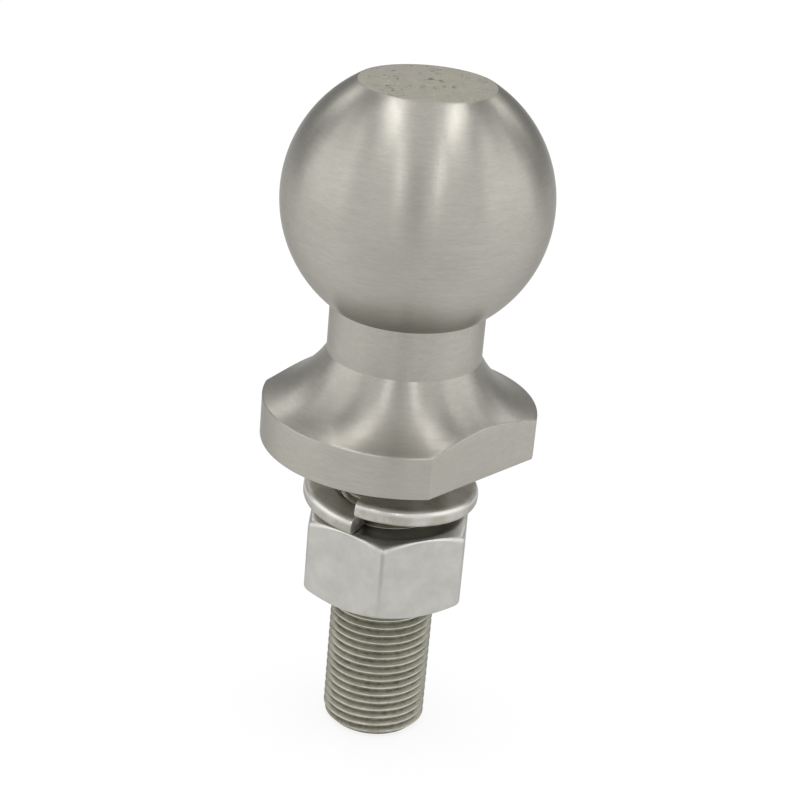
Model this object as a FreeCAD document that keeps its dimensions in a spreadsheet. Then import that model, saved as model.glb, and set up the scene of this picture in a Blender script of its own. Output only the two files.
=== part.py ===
# Threaded tow ball with its split lock washer and hex nut.
# Millimetres. The origin is on the axis, at the flange's underside, with +Z towards the ball.
# The flange's two spanner flats face +X and -X.
import FreeCAD, Part
import math
import os

import Sketcher
from FreeCAD import Placement, Rotation, Vector

doc = FreeCAD.newDocument("tow_ball")

# Driving dimensions: alias, value, what it measures

SIZES = [
    ("ball_diameter", 47.625, "ball, 1-7/8 in"),
    ("crown_diameter", 24.0, "flat turned on the ball's crown"),
    ("ball_centre_height", 45.6, "ball centre above the flange's underside"),
    ("neck_diameter", 27.7, "straight neck under the ball"),
    ("neck_foot_height", 17.3, "height at which the neck meets the flare"),
    ("flare_radius", 20.0, "hollow of the flare between neck and rim"),
    ("flange_diameter", 49.5, "round rim of the flange"),
    ("flange_width", 41.4, "across the flange's two spanner flats"),
    ("rim_height", 7.8, "upright edge of the flange at its round rim"),
    ("edge_break", 0.35, "rounding of the flange's edges"),
    ("root_radius", 0.8, "fillet where the shank leaves the flange"),
    ("shank_diameter", 19.05, "shank over its thread crests, 3/4 in"),
    ("shank_length", 57.4, "shank below the flange's underside"),
    ("thread_pitch", 1.5875, "16 threads to the inch"),
    ("thread_depth_share", 0.6134, "depth of the thread as a share of its pitch"),
    ("first_groove", 1.96, "shank's end to the middle of the lowest thread groove"),
    ("thread_stop", 7.0, "least depth of a groove's middle below the flange's underside"),
    ("lead_in", 0.35, "how far the end chamfer cuts below the thread's root"),
    ("nut_width", 28.575, "across the nut's flats, 1-1/8 in"),
    ("nut_height", 16.0, "nut from face to face"),
    ("nut_face_diameter", 27.2, "round flat left inside the nut's corner chamfers"),
    ("nut_chamfer", 23.0, "slope of the corner chamfers in degrees"),
    ("nut_mouth", 0.7, "how far the nut's bore mouths open past the shank's radius"),
    ("nut_seat_depth", 13.35, "nut's top face below the flange's underside"),
    ("nut_turn", 9.6, "degrees from +X to the nut's nearest corner"),
    ("thread_clearance", 0.05, "between shank and nut, all round"),
    ("washer_diameter", 31.9, "lock washer, outside"),
    ("washer_clearance", 0.475, "between shank and washer, all round"),
    ("washer_thickness", 3.3, "height of the washer's section at its outer edge"),
    ("washer_keystone", 0.25, "how much each face of the section spreads towards the bore"),
    ("washer_corner", 1.35, "rounded corners of the washer's section"),
    ("coil_rise", 3.7, "height that the washer's coil gains in a full turn"),
    ("split_gap", 0.3, "opening between the washer's two ends"),
    ("split_slant", 2.0, "slope of the split against the axis in degrees"),
    ("split_turn", -72.0, "degrees from +X to the washer's low end"),
    ("washer_lean", 2.0, "how far the loose washer leans in degrees"),
    ("lean_turn", 42.0, "degrees from +X to the side on which it hangs low"),
    ("rest_gap", 0.1, "least space between pieces that rest on each other"),
]

sheet = doc.addObject("Spreadsheet::Sheet", "sizes")
for row, (alias, value, meaning) in enumerate(SIZES, start=1):
    sheet.set(f"A{row}", meaning)
    sheet.set(f"B{row}", str(value))
    sheet.setAlias(f"B{row}", alias)
doc.recompute()

# Sizes that follow from the driving ones, as formulas over the sheet

BALL_RADIUS = "sizes.ball_diameter / 2"
CROWN_RADIUS = "sizes.crown_diameter / 2"
CROWN_HEIGHT = f"sizes.ball_centre_height + sqrt(({BALL_RADIUS}) ^ 2 - ({CROWN_RADIUS}) ^ 2)"
NECK_RADIUS = "sizes.neck_diameter / 2"
FLANGE_RADIUS = "sizes.flange_diameter / 2"
FLAT_DISTANCE = "sizes.flange_width / 2"
SHANK_RADIUS = "sizes.shank_diameter / 2"
THREAD_DEPTH = "sizes.thread_depth_share * sizes.thread_pitch"
END_CHAMFER = f"{THREAD_DEPTH} + sizes.lead_in"
GROOVE_RADIUS = f"{SHANK_RADIUS} - {THREAD_DEPTH}"
GROOVE_FLOOR = "sizes.thread_pitch / 6"
GROOVE_WIDTH = f"{GROOVE_FLOOR} + 2 * tan(30) * {THREAD_DEPTH}"
LOWEST_GROOVE = "sizes.shank_length - sizes.first_groove"
GROOVE_COUNT = f"floor(({LOWEST_GROOVE} - sizes.thread_stop) / sizes.thread_pitch) + 1"
NUT_CORNER_RADIUS = "sizes.nut_width / 2 / cos(30)"
NUT_FACE_RADIUS = "sizes.nut_face_diameter / 2"
NUT_MOUTH_RADIUS = f"{SHANK_RADIUS} + sizes.nut_mouth"
NUT_MOUTH_DEPTH = "sizes.nut_mouth - sizes.thread_clearance"
NUT_BORE_RADIUS = f"{SHANK_RADIUS} + sizes.thread_clearance"
CORNER_CUT_RADIUS = f"{NUT_CORNER_RADIUS} + sizes.edge_break"
CORNER_CUT_FALL = f"({CORNER_CUT_RADIUS} - {NUT_FACE_RADIUS}) * tan(sizes.nut_chamfer)"
WASHER_RADIUS = "sizes.washer_diameter / 2"
WASHER_BORE_RADIUS = f"{SHANK_RADIUS} + sizes.washer_clearance"
WIRE_HEIGHT = "sizes.washer_thickness / cos(sizes.split_slant)"
WIRE_CORNER = "min(sizes.washer_corner; 0.42 * sizes.washer_thickness)"


def value_of(formula):
    """Number that a formula over the sheet gives."""
    return float(sheet.evalExpression(formula))


def size(alias):
    """Value of one driving dimension."""
    return float(sheet.get(alias))


# A sketch counts a piece's start, end and centre from one, and its own two axes down from minus one

START, END, CENTRE = range(1, 4)
LEVEL_AXIS, UPRIGHT_AXIS = range(-1, -3, -1)
ORIGIN = (LEVEL_AXIS, START)


def origin_part(body, role):
    """One of a body's own origin planes or axes, found by its role."""
    return next(item for item in body.Origin.OriginFeatures if item.Role == role)


def sketch_on(body, role, name):
    """Sketch that lies on one of the body's own origin planes."""
    sketch = body.newObject("Sketcher::SketchObject", name)
    sketch.AttachmentSupport = [(origin_part(body, role), "")]
    sketch.MapMode = "FlatFace"
    return sketch


def relate(sketch, kind, *where):
    """Adds a geometric relation to a sketch."""
    sketch.addConstraint(Sketcher.Constraint(kind, *where))


def measure(sketch, kind, name, formula, *where):
    """Adds a named dimension to a sketch and ties it to the sheet."""
    index = sketch.addConstraint(Sketcher.Constraint(kind, *where, value_of(formula)))
    sketch.renameConstraint(index, name)
    sketch.setExpression(f"Constraints.{name}", formula)


def draw_line(sketch, a, b):
    """Straight piece from a to b."""
    return sketch.addGeometry(Part.LineSegment(Vector(*a, 0), Vector(*b, 0)), False)


def draw_arc(sketch, centre, a, b):
    """Round piece from a to b, anticlockwise about its centre."""
    circle = Part.Circle(Vector(*centre, 0), Vector(0, 0, 1), math.dist(centre, a))
    from_angle = math.atan2(a[1] - centre[1], a[0] - centre[0])
    to_angle = math.atan2(b[1] - centre[1], b[0] - centre[0])
    return sketch.addGeometry(Part.ArcOfCircle(circle, from_angle, to_angle), False)


def draw_loop(sketch, corners):
    """Closed chain of straight pieces through the corners, joined end to start."""
    pieces = [draw_line(sketch, a, b) for a, b in zip(corners, corners[1:] + corners[:1])]
    for piece, following in zip(pieces, pieces[1:] + pieces[:1]):
        relate(sketch, "Coincident", piece, END, following, START)
    return pieces


def turn_about_axis(body, kind, profile, name):
    """Revolved solid or groove about the body's upright axis."""
    feature = body.newObject(f"PartDesign::{kind}", name)
    feature.Profile = profile
    feature.ReferenceAxis = (origin_part(body, "Z_Axis"), [""])
    feature.Angle = 360.0
    return feature


# Tow ball: ball, neck, flared flange and threaded shank, turned from one forging


def flare_centre(neck_radius, neck_foot, flange_radius, rim_height, radius):
    """Centre of the hollow arc that joins neck and rim, outside the metal."""
    across = flange_radius - neck_radius
    down = neck_foot - rim_height
    half_chord = math.hypot(across, down) / 2
    sagitta_leg = math.sqrt(radius ** 2 - half_chord ** 2)
    middle = ((neck_radius + flange_radius) / 2, (neck_foot + rim_height) / 2)
    out = (down / (2 * half_chord), across / (2 * half_chord))
    return middle[0] + out[0] * sagitta_leg, middle[1] + out[1] * sagitta_leg


def draw_ball_outline(sketch):
    """Half section of the whole forging, from the shank's end up to the crown."""
    ball = value_of(BALL_RADIUS)
    centre = value_of("sizes.ball_centre_height")
    crown = (value_of(CROWN_RADIUS), value_of(CROWN_HEIGHT))
    neck = value_of(NECK_RADIUS)
    neck_foot = value_of("sizes.neck_foot_height")
    neck_head = centre - math.sqrt(ball ** 2 - neck ** 2)
    rim = value_of(FLANGE_RADIUS)
    rim_top = value_of("sizes.rim_height")
    shank = value_of(SHANK_RADIUS)
    foot = -value_of("sizes.shank_length")
    chamfer = value_of(END_CHAMFER)
    root = value_of("sizes.root_radius")
    hollow = flare_centre(neck, neck_foot, rim, rim_top, value_of("sizes.flare_radius"))

    end_face = draw_line(sketch, (0, foot), (shank - chamfer, foot))
    end_chamfer = draw_line(sketch, (shank - chamfer, foot), (shank, foot + chamfer))
    shank_side = draw_line(sketch, (shank, foot + chamfer), (shank, -root))
    root_fillet = draw_arc(sketch, (shank + root, -root), (shank + root, 0), (shank, -root))
    seat = draw_line(sketch, (shank + root, 0), (rim, 0))
    rim_side = draw_line(sketch, (rim, 0), (rim, rim_top))
    flare = draw_arc(sketch, hollow, (neck, neck_foot), (rim, rim_top))
    neck_side = draw_line(sketch, (neck, neck_foot), (neck, neck_head))
    ball_side = draw_arc(sketch, (0, centre), (neck, neck_head), crown)
    crown_face = draw_line(sketch, crown, (0, crown[1]))
    axis = draw_line(sketch, (0, crown[1]), (0, foot))

    for one, other in (
        ((end_face, END), (end_chamfer, START)),
        ((end_chamfer, END), (shank_side, START)),
        ((seat, END), (rim_side, START)),
        ((rim_side, END), (flare, END)),
        ((flare, START), (neck_side, START)),
        ((neck_side, END), (ball_side, START)),
        ((ball_side, END), (crown_face, START)),
        ((crown_face, END), (axis, START)),
        ((axis, END), (end_face, START)),
    ):
        relate(sketch, "Coincident", *one, *other)
    relate(sketch, "Tangent", shank_side, END, root_fillet, END)
    relate(sketch, "Tangent", root_fillet, START, seat, START)
    for piece in (end_face, crown_face):
        relate(sketch, "Horizontal", piece)
    for piece in (shank_side, rim_side, neck_side):
        relate(sketch, "Vertical", piece)
    for piece, point in ((axis, START), (axis, END), (ball_side, CENTRE)):
        relate(sketch, "PointOnObject", piece, point, UPRIGHT_AXIS)
    for point in (START, END):
        relate(sketch, "PointOnObject", seat, point, LEVEL_AXIS)

    measure(sketch, "DistanceX", "shank_radius", SHANK_RADIUS, *ORIGIN, shank_side, START)
    measure(sketch, "DistanceY", "shank_length", "sizes.shank_length", axis, END, *ORIGIN)
    measure(sketch, "DistanceX", "end_chamfer_width", END_CHAMFER, end_face, END, end_chamfer, END)
    measure(sketch, "DistanceY", "end_chamfer_height", END_CHAMFER, end_face, END, end_chamfer, END)
    measure(sketch, "Radius", "root_radius", "sizes.root_radius", root_fillet)
    measure(sketch, "DistanceX", "flange_radius", FLANGE_RADIUS, *ORIGIN, rim_side, START)
    measure(sketch, "DistanceY", "rim_height", "sizes.rim_height", *ORIGIN, rim_side, END)
    measure(sketch, "Radius", "flare_radius", "sizes.flare_radius", flare)
    measure(sketch, "DistanceX", "neck_radius", NECK_RADIUS, *ORIGIN, neck_side, START)
    measure(sketch, "DistanceY", "neck_foot", "sizes.neck_foot_height", *ORIGIN, neck_side, START)
    measure(sketch, "DistanceY", "ball_centre", "sizes.ball_centre_height", *ORIGIN, ball_side, CENTRE)
    measure(sketch, "Radius", "ball_radius", BALL_RADIUS, ball_side)
    measure(sketch, "DistanceX", "crown_radius", CROWN_RADIUS, *ORIGIN, crown_face, START)


def draw_flat_cut(sketch):
    """Box that takes the flange's round rim down to the spanner flat on the +X side."""
    flat = value_of(FLAT_DISTANCE)
    far = value_of("sizes.flange_diameter")
    half = value_of(FLANGE_RADIUS)
    pieces = draw_loop(sketch, [(flat, -half), (far, -half), (far, half), (flat, half)])
    front, outer, back, inner = pieces
    for piece in (front, back):
        relate(sketch, "Horizontal", piece)
    for piece in (outer, inner):
        relate(sketch, "Vertical", piece)
    measure(sketch, "DistanceX", "flat", FLAT_DISTANCE, *ORIGIN, front, START)
    measure(sketch, "DistanceX", "reach", "sizes.flange_diameter", *ORIGIN, front, END)
    measure(sketch, "DistanceY", "front", FLANGE_RADIUS, front, START, *ORIGIN)
    measure(sketch, "DistanceY", "back", FLANGE_RADIUS, *ORIGIN, back, START)


def flange_edges(shape):
    """Names of the edges that bound the flange's rim and its two flats."""
    flat = value_of(FLAT_DISTANCE)
    rim = value_of(FLANGE_RADIUS)
    names = []
    for number, edge in enumerate(shape.Edges, start=1):
        middle = edge.valueAt((edge.FirstParameter + edge.LastParameter) / 2)
        on_flat = math.isclose(abs(middle.x), flat, rel_tol=1e-5)
        on_rim = math.isclose(math.hypot(middle.x, middle.y), rim, rel_tol=1e-5)
        if on_flat or on_rim:
            names.append(f"Edge{number}")
    return names


def draw_thread_groove(sketch):
    """Section of the lowest thread groove: a 60 degree V with a blunt floor."""
    shank = value_of(SHANK_RADIUS)
    floor = value_of(GROOVE_RADIUS)
    middle = -value_of(LOWEST_GROOVE)
    half_floor = value_of(GROOVE_FLOOR) / 2
    half_width = value_of(GROOVE_WIDTH) / 2
    corners = [(floor, middle - half_floor), (shank, middle - half_width)]
    corners += [(shank, middle + half_width), (floor, middle + half_floor)]
    low_flank, mouth, high_flank, groove_floor = draw_loop(sketch, corners)
    for piece in (mouth, groove_floor):
        relate(sketch, "Vertical", piece)
    relate(sketch, "Equal", low_flank, high_flank)
    measure(sketch, "DistanceX", "floor_radius", GROOVE_RADIUS, *ORIGIN, low_flank, START)
    measure(sketch, "DistanceX", "mouth_radius", SHANK_RADIUS, *ORIGIN, mouth, START)
    measure(sketch, "DistanceY", "floor_width", GROOVE_FLOOR, low_flank, START, high_flank, END)
    measure(sketch, "DistanceY", "mouth_width", GROOVE_WIDTH, mouth, START, mouth, END)
    measure(sketch, "DistanceY", "depth", f"{LOWEST_GROOVE} - ({GROOVE_WIDTH}) / 2", mouth, END, *ORIGIN)


def build_tow_ball():
    body = doc.addObject("PartDesign::Body", "tow_ball")
    outline = sketch_on(body, "XZ_Plane", "ball_outline")
    draw_ball_outline(outline)
    turn_about_axis(body, "Revolution", outline, "forging")
    flat_cut = sketch_on(body, "XY_Plane", "flat_cut")
    draw_flat_cut(flat_cut)
    flat = body.newObject("PartDesign::Pocket", "spanner_flat")
    flat.Profile = flat_cut
    flat.Reversed = True
    flat.setExpression("Length", "sizes.neck_foot_height")
    both_flats = body.newObject("PartDesign::Mirrored", "both_flats")
    both_flats.Originals = [flat]
    both_flats.MirrorPlane = (origin_part(body, "YZ_Plane"), [""])
    body.Tip = both_flats
    doc.recompute()
    edges = body.newObject("PartDesign::Fillet", "broken_edges")
    edges.Base = (both_flats, flange_edges(both_flats.Shape))
    edges.setExpression("Radius", "sizes.edge_break")
    thread_section = sketch_on(body, "XZ_Plane", "thread_section")
    draw_thread_groove(thread_section)
    groove = turn_about_axis(body, "Groove", thread_section, "thread_groove")
    thread = body.newObject("PartDesign::LinearPattern", "shank_thread")
    thread.Originals = [groove]
    thread.Direction = (origin_part(body, "Z_Axis"), [""])
    thread.setExpression("Occurrences", GROOVE_COUNT)
    thread.setExpression("Length", f"({GROOVE_COUNT} - 1) * sizes.thread_pitch")
    body.Tip = thread
    return body


# Hex nut: prism with both faces chamfered to a round, bored for the shank


def draw_corner_cuts(sketch):
    """Two triangles that turn the prism's corners down to a round at each face."""
    face = value_of(NUT_FACE_RADIUS)
    far = value_of(CORNER_CUT_RADIUS)
    height = value_of("sizes.nut_height")
    fall = value_of(CORNER_CUT_FALL)
    top_face, top_side, _ = draw_loop(sketch, [(face, height), (far, height), (far, height - fall)])
    low_face, low_side, _ = draw_loop(sketch, [(face, 0), (far, 0), (far, fall)])
    for piece in (top_face, low_face):
        relate(sketch, "Horizontal", piece)
    for piece in (top_side, low_side):
        relate(sketch, "Vertical", piece)
    relate(sketch, "PointOnObject", low_face, START, LEVEL_AXIS)
    measure(sketch, "DistanceY", "height", "sizes.nut_height", *ORIGIN, top_face, START)
    measure(sketch, "DistanceX", "top_face_radius", NUT_FACE_RADIUS, *ORIGIN, top_face, START)
    measure(sketch, "DistanceX", "top_reach", CORNER_CUT_RADIUS, *ORIGIN, top_face, END)
    measure(sketch, "DistanceY", "top_fall", CORNER_CUT_FALL, top_side, END, top_side, START)
    measure(sketch, "DistanceX", "low_face_radius", NUT_FACE_RADIUS, *ORIGIN, low_face, START)
    measure(sketch, "DistanceX", "low_reach", CORNER_CUT_RADIUS, *ORIGIN, low_face, END)
    measure(sketch, "DistanceY", "low_fall", CORNER_CUT_FALL, low_side, START, low_side, END)


def draw_nut_bore(sketch):
    """Half section of the bore, with a 45 degree mouth at each face."""
    bore = value_of(NUT_BORE_RADIUS)
    mouth = value_of(NUT_MOUTH_RADIUS)
    depth = value_of(NUT_MOUTH_DEPTH)
    height = value_of("sizes.nut_height")
    corners = [(0, 0), (mouth, 0), (bore, depth), (bore, height - depth), (mouth, height), (0, height)]
    low_face, low_mouth, wall, high_mouth, high_face, axis = draw_loop(sketch, corners)
    for piece in (low_face, high_face):
        relate(sketch, "Horizontal", piece)
    relate(sketch, "Vertical", wall)
    relate(sketch, "Coincident", low_face, START, *ORIGIN)
    relate(sketch, "PointOnObject", high_face, END, UPRIGHT_AXIS)
    measure(sketch, "DistanceX", "bore_radius", NUT_BORE_RADIUS, *ORIGIN, wall, START)
    measure(sketch, "DistanceX", "low_mouth_radius", NUT_MOUTH_RADIUS, *ORIGIN, low_mouth, START)
    measure(sketch, "DistanceX", "high_mouth_radius", NUT_MOUTH_RADIUS, *ORIGIN, high_mouth, END)
    measure(sketch, "DistanceY", "low_mouth_depth", NUT_MOUTH_DEPTH, *ORIGIN, wall, START)
    measure(sketch, "DistanceY", "high_mouth_depth", NUT_MOUTH_DEPTH, wall, END, high_mouth, END)
    measure(sketch, "DistanceY", "bore_length", "sizes.nut_height", *ORIGIN, axis, START)


def build_hex_nut():
    body = doc.addObject("PartDesign::Body", "hex_nut")
    prism = body.newObject("PartDesign::AdditivePrism", "hexagon")
    prism.Polygon = 6
    prism.setExpression("Circumradius", NUT_CORNER_RADIUS)
    prism.setExpression("Height", "sizes.nut_height")
    corner_cuts = sketch_on(body, "XZ_Plane", "corner_cuts")
    draw_corner_cuts(corner_cuts)
    turn_about_axis(body, "Groove", corner_cuts, "chamfered_corners")
    bore = sketch_on(body, "XZ_Plane", "bore_section")
    draw_nut_bore(bore)
    turn_about_axis(body, "Groove", bore, "bore")
    body.setExpression("Placement.Base.z", "-sizes.nut_seat_depth - sizes.nut_height")
    body.setExpression("Placement.Rotation.Angle", "sizes.nut_turn")
    return body


# Lock washer: one open turn of keystone wire, wound left-handed so that its ends bite


def draw_wire_section(sketch):
    """Keystone section with rounded corners: taller at the bore, as coiling leaves it."""
    bore = value_of(WASHER_BORE_RADIUS)
    outside = value_of(WASHER_RADIUS)
    spread = value_of("sizes.washer_keystone")
    height = value_of(WIRE_HEIGHT)
    corner = value_of(WIRE_CORNER)
    taper = math.atan2(spread, outside - bore)
    outer_leg = corner * math.tan((math.pi / 2 - taper) / 2)
    inner_leg = corner * math.tan((math.pi / 2 + taper) / 2)

    low_start = (bore + inner_leg * math.cos(taper), -spread + inner_leg * math.sin(taper))
    low_end = (outside - outer_leg * math.cos(taper), -outer_leg * math.sin(taper))
    outer_low = (outside, outer_leg)
    inner_low = (bore, inner_leg - spread)
    outer_centre = (outside - corner, outer_leg)
    inner_centre = (bore + corner, inner_leg - spread)

    def high(point):
        """The same point mirrored to the section's upper half."""
        return point[0], height - point[1]

    low_face = draw_line(sketch, low_start, low_end)
    low_outer = draw_arc(sketch, outer_centre, low_end, outer_low)
    outer_side = draw_line(sketch, outer_low, high(outer_low))
    high_outer = draw_arc(sketch, high(outer_centre), high(outer_low), high(low_end))
    high_face = draw_line(sketch, high(low_end), high(low_start))
    high_inner = draw_arc(sketch, high(inner_centre), high(low_start), high(inner_low))
    inner_side = draw_line(sketch, high(inner_low), inner_low)
    low_inner = draw_arc(sketch, inner_centre, inner_low, low_start)

    pieces = [low_face, low_outer, outer_side, high_outer]
    pieces += [high_face, high_inner, inner_side, low_inner]
    for piece, following in zip(pieces, pieces[1:] + pieces[:1]):
        relate(sketch, "Tangent", piece, END, following, START)
    for piece in (outer_side, inner_side):
        relate(sketch, "Vertical", piece)
    for piece in (high_outer, high_inner, low_inner):
        relate(sketch, "Equal", low_outer, piece)
    measure(sketch, "Radius", "corner", WIRE_CORNER, low_outer)
    measure(sketch, "DistanceX", "outside", WASHER_RADIUS, *ORIGIN, outer_side, START)
    measure(sketch, "DistanceX", "bore", WASHER_BORE_RADIUS, *ORIGIN, inner_side, START)

    def sharp_corner(face, side, place):
        """Construction point where a face and a side would meet without the rounding."""
        point = sketch.addGeometry(Part.Point(Vector(*place, 0)), True)
        relate(sketch, "PointOnObject", point, START, face)
        relate(sketch, "PointOnObject", point, START, side)
        return point

    low_out = sharp_corner(low_face, outer_side, (outside, 0))
    low_in = sharp_corner(low_face, inner_side, (bore, -spread))
    high_out = sharp_corner(high_face, outer_side, (outside, height))
    high_in = sharp_corner(high_face, inner_side, (bore, height + spread))
    relate(sketch, "PointOnObject", low_out, START, LEVEL_AXIS)
    measure(sketch, "DistanceY", "low_spread", "sizes.washer_keystone", low_in, START, low_out, START)
    measure(sketch, "DistanceY", "wire_height", WIRE_HEIGHT, low_out, START, high_out, START)
    measure(sketch, "DistanceY", "high_spread", "sizes.washer_keystone", high_out, START, high_in, START)


def build_lock_washer():
    body = doc.addObject("PartDesign::Body", "lock_washer")
    section = sketch_on(body, "XZ_Plane", "wire_section")
    section.AttachmentOffset = Placement(Vector(), Rotation(Vector(-1, 0, 0), 1))
    section.setExpression("AttachmentOffset.Rotation.Angle", "sizes.split_slant")
    draw_wire_section(section)
    coil = body.newObject("PartDesign::AdditiveHelix", "coil")
    coil.Profile = section
    coil.ReferenceAxis = (origin_part(body, "Z_Axis"), [""])
    coil.Mode = "pitch-turns-angle"
    coil.LeftHanded = True
    coil.Reversed = True
    coil.setExpression("Pitch", "sizes.coil_rise")
    coil.setExpression("Turns", f"1 - sizes.split_gap / (2 * pi * ({WASHER_RADIUS}))")
    return body


def rest_washer_on_nut(washer):
    """Leans the loose washer, slides it against the shank and sets it down on the nut's top face."""
    lean = size("washer_lean")
    side = math.radians(size("lean_turn"))
    towards = Vector(math.cos(side), math.sin(side), 0)
    leaning = Rotation(Vector(-towards.y, towards.x, 0), lean)
    split = Rotation(Vector(0, 0, 1), size("split_turn"))
    washer.Placement = Placement(Vector(), leaning * split)
    box = washer.Shape.optimalBoundingBox(False, False)
    half_height = (size("coil_rise") + size("washer_thickness")) / 2 + size("washer_keystone")
    reach = half_height * math.sin(math.radians(lean))
    drift = size("washer_clearance") - size("rest_gap") - reach
    washer.Placement.Base = towards * -(drift + reach)
    washer.Placement.Base.z = -size("nut_seat_depth") + size("rest_gap") - box.ZMin


tow_ball = build_tow_ball()
hex_nut = build_hex_nut()
lock_washer = build_lock_washer()
doc.recompute()
rest_washer_on_nut(lock_washer)
doc.recompute()

# Every feature has to have been made, and every piece has to be one sound solid

for item in doc.Objects:
    if {"Invalid", "Error"} & set(item.State):
        raise RuntimeError(f"{item.Label} was not made: {item.State}")

os.makedirs("parts", exist_ok=True)
for piece in (tow_ball, lock_washer, hex_nut):
    shape = piece.Shape
    if shape.isNull() or not shape.isValid() or len(shape.Solids) != 1:
        raise RuntimeError(f"{piece.Label} is not one sound solid")
    shape.exportStep(f"parts/{piece.Label}.step")
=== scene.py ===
import math

import bmesh
import bpy
from mathutils import Matrix, Vector


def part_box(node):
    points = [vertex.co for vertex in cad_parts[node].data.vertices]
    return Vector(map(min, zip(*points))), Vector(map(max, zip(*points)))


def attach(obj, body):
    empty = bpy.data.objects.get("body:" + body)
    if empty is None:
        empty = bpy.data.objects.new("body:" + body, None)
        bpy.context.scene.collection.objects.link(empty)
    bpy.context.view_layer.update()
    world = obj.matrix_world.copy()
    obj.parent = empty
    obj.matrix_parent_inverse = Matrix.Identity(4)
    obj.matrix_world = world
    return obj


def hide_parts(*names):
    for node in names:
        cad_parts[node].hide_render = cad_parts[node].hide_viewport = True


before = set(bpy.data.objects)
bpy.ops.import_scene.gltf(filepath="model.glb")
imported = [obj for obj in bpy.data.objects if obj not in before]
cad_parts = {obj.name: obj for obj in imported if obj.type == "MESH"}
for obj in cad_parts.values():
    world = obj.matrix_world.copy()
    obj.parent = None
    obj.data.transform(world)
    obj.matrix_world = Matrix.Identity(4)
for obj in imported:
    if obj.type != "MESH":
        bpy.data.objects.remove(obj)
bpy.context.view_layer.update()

# Threaded tow ball with its split lock washer and hex nut, dressed as satin turned steel.
# Metres. The origin is on the axis at the flange's underside, +Z points to the ball.

MM = 0.001
QUARTER = math.pi / 2
FULL = 2 * math.pi
CENTRE = (0, 0, 0)
UP = (0, 0, 1)

# Sizes of the turned forging

BALL_RADIUS = 23.8125 * MM
BALL_HEIGHT = 45.6 * MM
CROWN_RADIUS = 12.0 * MM
CROWN_LEVEL = BALL_HEIGHT + math.sqrt(BALL_RADIUS ** 2 - CROWN_RADIUS ** 2)
CROWN_EDGE = 0.12 * MM
NECK_RADIUS = 13.85 * MM
NECK_FOOT = 17.3 * MM
FLARE_RADIUS = 20.0 * MM
RIM_RADIUS = 24.75 * MM
RIM_HEIGHT = 7.8 * MM
FLAT_DISTANCE = 20.7 * MM
EDGE_BREAK = 0.35 * MM
ROOT_RADIUS = 0.8 * MM
SHANK_RADIUS = 9.525 * MM
PLAIN_SHANK = 5.2 * MM
SHANK_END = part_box("tow_ball")[0].z

# Thread: 3/4 in with 16 turns to the inch, right-handed

PITCH = 1.5875 * MM
THREAD_DEPTH = 0.6134 * PITCH
CREST_FLAT = PITCH / 8
ROOT_FLAT = PITCH / 6
FLANK_ANGLE = math.radians(30)
THREAD_EDGE = 0.03 * MM
LEAD_IN = 0.35 * MM
RUN_OUT = 2.2 * MM
CREST_TURN = math.radians(-48.2)
CREST_LEVEL = -34.01 * MM

# The threaded piece reaches a little way into the plain shank above it, just under its surface

TUCK_LENGTH = 0.6 * MM
TUCK_DEPTH = 0.02 * MM

# Hex nut

NUT_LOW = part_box("hex_nut")[0].z
NUT_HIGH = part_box("hex_nut")[1].z
NUT_HALF = (NUT_HIGH - NUT_LOW) / 2
NUT_MIDDLE = (NUT_HIGH + NUT_LOW) / 2
NUT_SIDES = 6
NUT_SIDE = FULL / NUT_SIDES
NUT_APOTHEM = 14.2875 * MM
NUT_FACE_RADIUS = 13.6 * MM
NUT_CHAMFER = math.radians(23)
NUT_CORNER_RADIUS = 1.1 * MM
NUT_EDGE = 0.4 * MM
NUT_EDGE_GROWTH = 0.6
NUT_TURN = math.radians(9.6)
NUT_BORE = 9.62 * MM
NUT_MOUTH = 10.225 * MM
NUT_THREAD_CREST = 8.72 * MM
NUT_THREAD_ROOT = NUT_BORE + 0.2 * MM
NUT_THREAD_MARGIN = 0.75 * PITCH
THREAD_PLAY = 0.03 * MM

# Split lock washer

WASHER_BORE = 10.0 * MM
WASHER_RADIUS = 15.95 * MM
WASHER_THICKNESS = 3.3 * MM
WASHER_KEYSTONE = 0.25 * MM
WASHER_CORNER = 1.35 * MM
COIL_RISE = 3.7 * MM
SPLIT_GAP = 0.3 * MM
SPLIT_SLANT = math.radians(2)
SPLIT_TURN = math.radians(-72)
SPLIT_EDGE = 0.1 * MM
WASHER_LEAN = math.radians(2)
LEAN_TURN = math.radians(42)
WASHER_DRIFT = 0.375 * MM

# Fineness of the meshes

FORGING_COLUMNS = 192
NUT_COLUMNS = 14
THREAD_COLUMNS = 96
WIRE_COLUMNS = 160
BALL_STEPS = 84
CROWN_STEPS = 12
NECK_STEPS = 10
FLARE_STEPS = 30
UNDERSIDE_STEPS = 8
ROOT_STEPS = 6
SIDE_STEPS = 6
EDGE_STEPS = 4
ROUNDING_STEPS = 7
WELD = MM / 1000
FINE_WELD = MM / 10000
SHARP_ANGLE = math.radians(26)
THREAD_SHARP_ANGLE = math.radians(40)


# Outlines, as (distance from the axis, height) pairs


def arc(centre, radius, start, end, steps):
    """Points along a round stretch of outline, both ends included."""
    turn = (end - start) / steps
    return [
        (centre[0] + radius * math.cos(start + turn * i), centre[1] + radius * math.sin(start + turn * i))
        for i in range(steps + 1)
    ]


def straight(a, b, steps):
    """Points along a straight stretch of outline, without its two ends."""
    return [(a[0] + (b[0] - a[0]) * i / steps, a[1] + (b[1] - a[1]) * i / steps) for i in range(1, steps)]


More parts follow.
